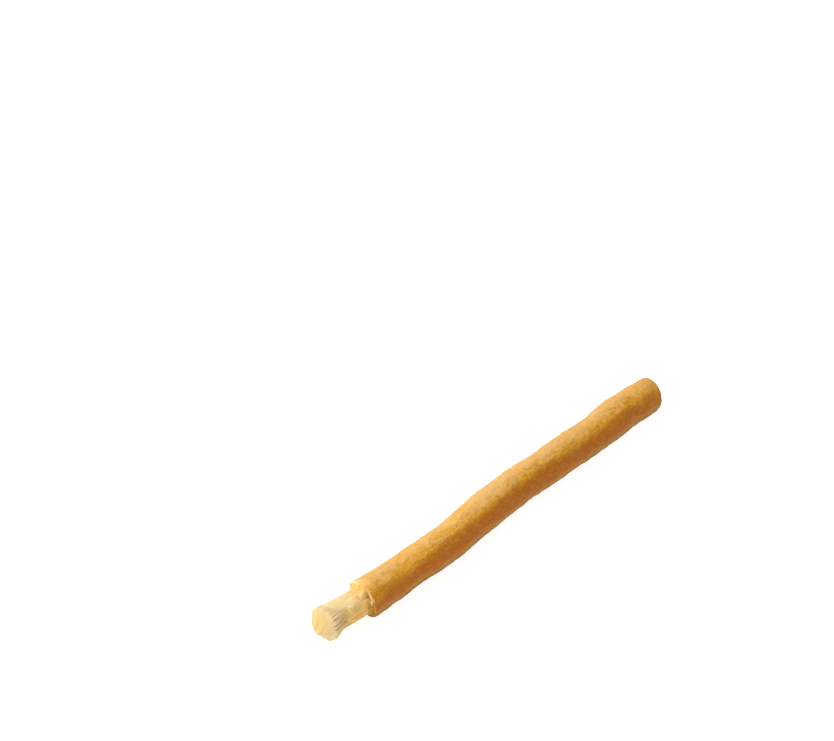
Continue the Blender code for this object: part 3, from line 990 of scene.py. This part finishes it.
def bristle(share, angle, tuft, start, steps, chance, brush):
    """One bristle's points, widths and looks, from its buried root to its rounded tip."""
    width = chance.uniform(0.85, 1.15)
    own = chance.uniform(0, 100)
    tip = worn_back(share, angle) + 0.8 * tuft.tip + chance.uniform(0, brush.tip_scatter)
    tip += wander(Vector((share * cos(angle), share * sin(angle), 0.0)) * 4, 0.1 * MM)
    edge = smoothstep(*GAP_SHARES, share)
    gathered = turn_between(tuft.angle, angle) * tuft.pull * edge
    upper = 1 - tufted_share(angle)
    low = on_side(angle, *PALE_SIDE)
    own_tone = 0.4 + blend(0.68 + 0.25 * low, 0.4, upper) * share**3 + 0.14 * tuft.tone
    own_tone += chance.uniform(-0.3, 0.3)
    neck_tone = 0.3 + 0.3 * (own_tone - 0.5) + 0.3 * upper
    loose = brush.frizz * (0.3 + 0.7 * tuft.pull / brush.tuft_pull)
    points, looks = [], []
    for k in range(steps + 1):
        distance = blend(start, tip, (k / steps) ** STEP_CROWDING)
        in_gap = smoothstep(-0.8 * MM, 1 * MM, distance - tip)
        in_gap *= 1 - smoothstep(0.55 * tuft.split, tuft.split, distance)
        place = cross_place(distance, share, angle + gathered * in_gap) + edge * tuft.shift(distance)
        place.y += wander(Vector((own, distance / FRIZZ_SPACING, 0.0)), loose)
        place.z += wander(Vector((own, distance / FRIZZ_SPACING, 9.0)), loose)
        stain_and_shade = 0.0
        if share > OUTER_SHARE:
            sunk = 0.3 * MM * smoothstep(0.55 * start, start, distance)
            sunk += SUNK_DEPTH * upper * smoothstep(2.4 * MM, 4 * MM, distance)
            place *= 1 - sunk / (NECK_DIAMETER / 2)
            stain_and_shade = neck_stain_and_shade(Vector((distance, place.y, place.z)), angle)
        points.append(centre_line(distance) + place)
        shade = 0.22 * smoothstep(0.93, 0.84, share) * smoothstep(0.8 * MM, 2.5 * MM, distance - tip)
        tone = blend(own_tone, neck_tone, smoothstep(3 * MM, 7 * MM, distance))
        looks.append((tone, shade * (1 - upper), stain_and_shade))
    points.append(points[-1] + (points[-1] - points[-2]).normalized() * brush.thickness * 0.2)
    looks.append(looks[-1])
    return points, [0.0] + [width] * steps + [0.0], looks


def strand_body(strands, thickness):
    """Strands of as many points each as one bmesh, with a width and looks at each point."""
    curve = bpy.data.curves.new("strand_paths", "CURVE")
    curve.dimensions = "3D"
    curve.bevel_depth = thickness / 2
    curve.bevel_resolution = 1
    for points, widths, _ in strands:
        spline = curve.splines.new("POLY")
        spline.points.add(len(points) - 1)
        for spot, place, width in zip(spline.points, points, widths):
            spot.co = (*place, 1.0)
            spot.radius = width
    paths = add_object("strand_paths", curve)
    bpy.context.view_layer.update()
    mesh = bpy.data.meshes.new_from_object(paths.evaluated_get(bpy.context.evaluated_depsgraph_get()))
    bpy.data.objects.remove(paths)
    bm = bmesh.new()
    bm.from_mesh(mesh)
    bpy.data.meshes.remove(mesh)
    layers = add_layers(bm, WOOD_LAYERS)
    per_strand = len(bm.verts) // len(strands)
    per_point = per_strand // len(strands[0][0])
    for index, vert in enumerate(bm.verts):
        looks = strands[index // per_strand][2]
        for layer, value in zip(layers, looks[index % per_strand // per_point]):
            vert[layer] = value
    bmesh.ops.remove_doubles(bm, verts=bm.verts, dist=0.1 * WELD)
    bmesh.ops.recalc_face_normals(bm, faces=bm.faces)
    return bm


def make_bristles(context):
    """The brush in three depths, so that each piece stays light: short inner bristles, longer outer ones."""
    brush = context.scene.miswak_brush
    chance = random.Random(BRISTLE_SEED)
    tufts = [Tuft(share, angle, tip, chance, brush) for share, angle, tip in lock_centres()]
    groups = {"inner": [], "middle": [], "outer": []}
    for share, angle in bristle_sites(brush, chance):
        place = cross_place(0.0, share, angle)
        tuft = min(tufts, key=lambda one: (one.place - place).length_squared)
        if share > OUTER_SHARE:
            depth, root, steps = "outer", chance.uniform(*OUTER_ROOTS) * MM, OUTER_STEPS
        elif share > MIDDLE_SHARE:
            depth, root, steps = "middle", MIDDLE_ROOT, MIDDLE_STEPS
        else:
            depth, root, steps = "inner", INNER_ROOT, INNER_STEPS
        groups[depth].append(bristle(share, angle, tuft, root, steps, chance, brush))
    for depth, strands in groups.items():
        finish_wood(strand_body(strands, brush.thickness), f"bristles_{depth}", context)


def peel_path(share):
    """The peel's middle at a share of its length, along the lip and round a curl: distance, angle, radius."""
    along = min(share / PEEL_RUN, 1.0)
    angle = blend(PEEL_FROM, PEEL_TO, along)
    distance = PEELED_LENGTH - rim_shift(angle) + blend(*PEEL_BEHIND, (1 - along) ** 2.2)
    radius = shaft_radius(PEELED_LENGTH) + blend(-0.02, 0.05, along) * MM
    if share > PEEL_RUN:
        round_curl = (share - PEEL_RUN) / (1 - PEEL_RUN)
        back, aside = PEEL_CURL
        turn = PEEL_CURL_TURN * round_curl
        size = 1 - 0.45 * round_curl
        distance -= back * (1 - cos(turn) * size)
        angle += aside * sin(turn) * size
        radius -= 0.25 * MM * round_curl
    return distance, angle, radius


def peel_body():
    """A narrow strip that stands out from the bark, of even thickness and ragged at its free edge."""
    length_steps, width_steps = PEEL_STEPS
    bm = bmesh.new()
    bmesh.ops.create_grid(bm, x_segments=length_steps, y_segments=width_steps, size=0.5)
    for vert in bm.verts:
        share, across = vert.co.x + 0.5, vert.co.y + 0.5
        distance, angle, radius = peel_path(share)
        ragged = 1 + wander(Vector((share * 16, 0.0, 3.0)), 0.4)
        ends = smoothstep(0, 0.12, share) * blend(1.0, 0.55, smoothstep(0.9, 1.0, share))
        width = PEEL_WIDTH * ragged * ends * blend(0.25, 1.0, smoothstep(0.2, PEEL_RUN, share))
        flat = 1 - smoothstep(PEEL_RUN - 0.05, PEEL_RUN + 0.1, share)
        rolled = 0.9 * across * (1.2 - across) - 0.25
        forward, outward = blend(0.15, 0.75, flat), blend(across - 0.6, rolled, flat)
        vert.co = ring_place(distance - forward * width * across, angle, radius + outward * width)
    bmesh.ops.solidify(bm, geom=bm.faces[:], thickness=PEEL_THICKNESS)
    bmesh.ops.recalc_face_normals(bm, faces=bm.faces)
    return bm


def make_peel(context):
    """The peel, browner where it curls."""
    bm = peel_body()
    tone_layer, shade_layer, stain_and_shade_layer = add_layers(bm, WOOD_LAYERS)
    for vert in bm.verts:
        angle = atan2(vert.co.z - MIDDLE_HEIGHT, vert.co.y)
        curled = smoothstep(PEEL_TO - radians(10), PEEL_TO, angle)
        vert[tone_layer] = 0.2 + wander(vert.co / (0.5 * MM), 0.3)
        vert[shade_layer] = 0.2 * curled
        vert[stain_and_shade_layer] = clamp(0.1 + 0.5 * curled + wander(vert.co / (0.9 * MM), 0.3))
    finish_wood(bm, "rim_peel", context)


def loose_fibre(chance, distance, angle, radius, ranges):
    """A thin fibre that lies along the wood and lifts away from it towards its end."""
    length, lift, tone = (chance.uniform(*ends) for ends in ranges)
    length *= MM
    lift *= MM
    own = chance.uniform(0, 100)
    aside = chance.uniform(-0.12, 0.12) * length / FIBRE_LENGTH
    points = []
    for k in range(FIBRE_STEPS + 1):
        share = k / FIBRE_STEPS
        stray = wander(Vector((own, 2.5 * share, 0.0)), 0.05) * length / FIBRE_LENGTH
        turned = angle + aside * share + stray
        place = ring_place(distance - length * share, turned, radius + lift * share**2)
        place.z = max(place.z, FIBRE_THICKNESS)
        points.append(place)
    widths = [0.0] + [1.0] * (FIBRE_STEPS - 1) + [0.0]
    return points, widths, [(tone, 0.0, 0.0)] * (FIBRE_STEPS + 1)


def make_fibres(context):
    """The loose fibres along the neck, at the brush's edge and at the rim."""
    chance = random.Random(FIBRE_SEED)
    strands = []
    for _ in range(NECK_FIBRES):
        distance, angle = chance.uniform(11, 16.5) * MM, chance.uniform(0, TURN)
        radius = neck_radius(distance, angle) + chance.uniform(0.0, 0.1) * MM
        strands.append(loose_fibre(chance, distance, angle, radius, NECK_FIBRE))
    for _ in range(EDGE_FIBRES):
        angle = chance.uniform(0, TURN)
        radius = BRUSH_DIAMETER / 2 - 0.1 * MM
        strands.append(loose_fibre(chance, EDGE_FIBRE_ROOT, angle, radius, EDGE_FIBRE))
    for _ in range(RIM_FIBRES):
        angle = chance.uniform(0, TURN)
        distance = PEELED_LENGTH - rim_shift(angle) + 0.4 * MM
        radius = shaft_radius(PEELED_LENGTH) - chance.uniform(0.15, 0.9) * MM
        strands.append(loose_fibre(chance, distance, angle, radius, RIM_FIBRE))
    finish_wood(strand_body(strands, FIBRE_THICKNESS), "stray_fibres", context)


def add_colour(name, description, default):
    """A colour setting, from red, green and blue."""
    return bpy.props.FloatVectorProperty(
        name=name,
        description=description,
        default=(*default, 1.0),
        size=4,
        subtype="COLOR",
        min=0.0,
        max=1.0,
    )


def add_number(name, description, default, **kind):
    """A number setting."""
    return bpy.props.FloatProperty(name=name, description=description, default=default, **kind)


def add_length(name, description, default):
    """A length setting."""
    return add_number(name, description, default, precision=5, subtype="DISTANCE", unit="LENGTH")


def add_count(name, description, default):
    """A whole number setting."""
    return bpy.props.IntProperty(name=name, description=description, default=default)


class MiswakBark(bpy.types.PropertyGroup):
    """How finely the bark is made, and its colours."""

    sides: add_count("Sides", "Faces round the bark", 220)
    butt_steps: add_count("Butt steps", "Rings on the butt's worn edge", 9)
    ring_spacing: add_length("Ring spacing", "Distance between rings along the bark", 0.34 * MM)
    gold: add_colour("Gold", "The bark's main colour", (0.66, 0.305, 0.01))
    gold_dark: add_colour("Dark gold", "Its darker olive mottling", (0.46, 0.215, 0.008))
    straw: add_colour("Straw", "Its paler specks", (0.74, 0.415, 0.045))
    # Painted light: the paler peach of the upper side, where the light falls.
    peach_painted_light: add_colour("Peach", "The paler upper side", (0.67, 0.39, 0.135))
    # Painted shade: the darker, redder brown of the sides turned from the light.
    brown_shade: add_colour("Brown", "The ruddy side", (0.42, 0.105, 0.002))
    # Painted shade: the dark band, in patches, where the lit side turns to shade.
    shadow_line_brown: add_colour("Rust", "Redder patches of the near side", (0.50, 0.105, 0.003))
    # Painted shade: the darker lower side.
    umber_shade: add_colour("Umber", "The lower side", (0.50, 0.25, 0.022))
    # Painted shade on the underside; the same colour also darkens the fine grain and the stick towards the
    # butt.
    soil_and_shade: add_colour("Soil", "The underside", (0.15, 0.065, 0.008))
    # Olive-brown flecks in the wrinkles, and painted shade in the creases, pits and low places.
    fleck_and_hollow_shade: add_colour("Fleck", "Olive-brown in hollows and creases", (0.36, 0.16, 0.008))
    bloom: add_colour("Bloom", "A thin dusty bloom in patches", (0.78, 0.48, 0.14))
    rim_peach: add_colour("Rim peach", "The band behind the rim", (0.86, 0.47, 0.15))
    inner: add_colour("Inner bark", "The rim's cut edge", (0.77, 0.62, 0.38))
    worn: add_colour("Worn", "The handled bark at the butt", (0.41, 0.20, 0.03))


class MiswakWood(bpy.types.PropertyGroup):
    """The bare wood's colours."""

    bleached: add_colour("Bleached", "The palest strands", (0.94, 0.80, 0.465))
    pale: add_colour("Pale", "Clean strands", (0.79, 0.605, 0.35))
    gold: add_colour("Gold", "Ripe strands", (0.785, 0.56, 0.17))
    # Golden-brown streaks and patches; on the near and lower side they are partly painted shade, and in the
    # recess by the rim painted shadow.
    stain_and_shade: add_colour("Stain", "Golden-brown streaks near the bark", (0.71, 0.36, 0.055))
    shade: add_colour("Shade", "Deep between the strands", (0.42, 0.22, 0.028))


class MiswakBrush(bpy.types.PropertyGroup):
    """How the bristles are spaced and how they stand."""

    thickness: add_length("Thickness", "Diameter of a bristle", 0.185 * MM)
    spacing: add_length("Spacing", "Distance between bristles over the brush's face", 0.155 * MM)
    jitter: add_number("Jitter", "Scatter as a share of the spacing", 0.35)
    tip_scatter: add_length("Tip scatter", "How unevenly the bristles end", 0.12 * MM)
    frizz: add_length("Frizz", "How far a bristle strays from its straight line", 0.032 * MM)
    tuft_pull: add_number(
        "Tuft pull",
        "How far bristles draw together into tufts, as a share",
        0.45,
        subtype="FACTOR",
        min=0.0,
        max=1.0,
    )


class MiswakStudio(bpy.types.PropertyGroup):
    """The floor, the lights and the camera."""

    floor: add_colour("Floor", "The floor's colour", (0.42, 0.42, 0.42))
    floor_glow: add_number("Floor glow", "Light from the backlit floor", 0.85)
    key: add_number("Key", "Strength of the soft key light", 3.22)
    key_spread: add_number(
        "Key spread", "How wide the key light looks from the stick", radians(55), subtype="ANGLE"
    )
    sky: add_number("Sky", "Strength of the even white surroundings", 0.55)
    lens: add_number("Lens", "Focal length in millimetres on a 36 mm sensor", 104.62, unit="CAMERA")


class MISWAK_OT_add_bark(bpy.types.Operator):
    """Add the bark with its relief, ragged rim and worn butt"""

    bl_idname = "miswak.add_bark"
    bl_label = "Add Bark"

    def execute(self, context):
        bark = context.scene.miswak_bark
        bm = turned_body(bark_profile(bark), bark.sides)
        shape_bark(bm)
        finish_piece(bm, "bark", bark_material(bark))
        return {"FINISHED"}


class MISWAK_OT_add_butt_wood(bpy.types.Operator):
    """Add the sawn wood that shows at the butt"""

    bl_idname = "miswak.add_butt_wood"
    bl_label = "Add Butt Wood"

    def execute(self, context):
        bm = turned_body(butt_profile(), BUTT_SIDES)
        shape_butt(bm)
        finish_wood(bm, "butt_wood", context)
        return {"FINISHED"}


class MISWAK_OT_add_neck(bpy.types.Operator):
    """Add the peeled neck of bare wood"""

    bl_idname = "miswak.add_neck"
    bl_label = "Add Neck"

    def execute(self, context):
        bm = turned_body(neck_profile(), NECK_SIDES)
        shape_neck(bm)
        finish_wood(bm, "neck_wood", context)
        return {"FINISHED"}


class MISWAK_OT_add_bristles(bpy.types.Operator):
    """Add the bristles of the frayed brush"""

    bl_idname = "miswak.add_bristles"
    bl_label = "Add Bristles"

    def execute(self, context):
        make_bristles(context)
        return {"FINISHED"}


class MISWAK_OT_add_peel(bpy.types.Operator):
    """Add the thin curled peel on the bark's lip"""

    bl_idname = "miswak.add_peel"
    bl_label = "Add Peel"

    def execute(self, context):
        make_peel(context)
        return {"FINISHED"}


class MISWAK_OT_add_fibres(bpy.types.Operator):
    """Add the loose fibres on the neck, the brush and the rim"""

    bl_idname = "miswak.add_fibres"
    bl_label = "Add Loose Fibres"

    def execute(self, context):
        make_fibres(context)
        return {"FINISHED"}


def make_floor(studio):
    """A pale floor that is lit from below, just under the stick."""
    bm = bmesh.new()
    bmesh.ops.create_grid(bm, x_segments=1, y_segments=1, size=FLOOR_SIZE / 2)
    bmesh.ops.translate(bm, vec=(0.0, 0.0, -FLOOR_GAP), verts=bm.verts)
    mesh = bpy.data.meshes.new("floor")
    bm.to_mesh(mesh)
    bm.free()
    finish = Finish("floor", studio.floor)
    inputs = {"Base Color": finish.colour, "Roughness": 0.9, "Specular IOR Level": 0.1}
    glow = {"Emission Color": WHITE, "Emission Strength": studio.floor_glow}
    finish.set_inputs(finish.shader, {**inputs, **glow})
    mesh.materials.append(finish.material)
    floor = add_object("floor", mesh)


def make_lights(studio):
    """One wide soft light from the upper left, and even white surroundings."""
    light = bpy.data.lights.new("key_light", "SUN")
    light.angle = studio.key_spread
    light.energy = studio.key
    key = add_object("key_light", light)
    key.rotation_mode = "QUATERNION"
    key.rotation_quaternion = Vector(KEY_TOWARDS).to_track_quat("Z", "Y")
    world = bpy.data.worlds.new("surroundings")
    world.use_nodes = True
    background = world.node_tree.nodes["Background"]
    background.inputs["Color"].default_value = WHITE
    background.inputs["Strength"].default_value = studio.sky
    bpy.context.scene.world = world


def make_camera(studio):
    """The camera at the photograph's angle."""
    data = bpy.data.cameras.new("camera")
    data.sensor_width = SENSOR_WIDTH
    data.lens = studio.lens
    data.clip_start = 0.01
    data.clip_end = 20.0
    camera = add_object("camera", data)
    level = cos(CAMERA_ELEVATION)
    back = Vector((sin(CAMERA_AZIMUTH) * level, -cos(CAMERA_AZIMUTH) * level, sin(CAMERA_ELEVATION)))
    camera.location = CAMERA_FROM + back * CAMERA_DISTANCE
    camera.rotation_mode = "QUATERNION"
    camera.rotation_quaternion = (CAMERA_AIM - camera.location).to_track_quat("-Z", "Y")
    bpy.context.scene.camera = camera


class MISWAK_OT_add_studio(bpy.types.Operator):
    """Add the pale floor, the soft light and the camera"""

    bl_idname = "miswak.add_studio"
    bl_label = "Add Studio"

    def execute(self, context):
        studio = context.scene.miswak_studio
        make_floor(studio)
        make_lights(studio)
        make_camera(studio)
        context.scene.view_settings.view_transform = "Standard"
        return {"FINISHED"}


class MISWAK_PT_stick(bpy.types.Panel):
    """The stick's pieces and studio"""

    bl_label = "Miswak Stick"
    bl_space_type = "VIEW_3D"
    bl_region_type = "UI"
    bl_category = "Miswak"

    def draw(self, context):
        for operator in OPERATORS:
            self.layout.operator(operator.bl_idname)


SETTINGS = {
    "miswak_bark": MiswakBark,
    "miswak_wood": MiswakWood,
    "miswak_brush": MiswakBrush,
    "miswak_studio": MiswakStudio,
}
OPERATORS = (
    MISWAK_OT_add_bark,
    MISWAK_OT_add_butt_wood,
    MISWAK_OT_add_neck,
    MISWAK_OT_add_bristles,
    MISWAK_OT_add_peel,
    MISWAK_OT_add_fibres,
    MISWAK_OT_add_studio,
)


def register():
    for kind in (*SETTINGS.values(), *OPERATORS, MISWAK_PT_stick):
        bpy.utils.register_class(kind)
    for name, kind in SETTINGS.items():
        setattr(bpy.types.Scene, name, bpy.props.PointerProperty(type=kind))


def unregister():
    for name in SETTINGS:
        delattr(bpy.types.Scene, name)
    for kind in (MISWAK_PT_stick, *reversed(OPERATORS), *reversed(SETTINGS.values())):
        bpy.utils.unregister_class(kind)


def main():
    register()
    bpy.ops.miswak.add_bark()
    bpy.ops.miswak.add_butt_wood()
    bpy.ops.miswak.add_neck()
    bpy.ops.miswak.add_bristles()
    bpy.ops.miswak.add_peel()
    bpy.ops.miswak.add_fibres()
    bpy.ops.miswak.add_studio()


if __name__ == "__main__":
    main()
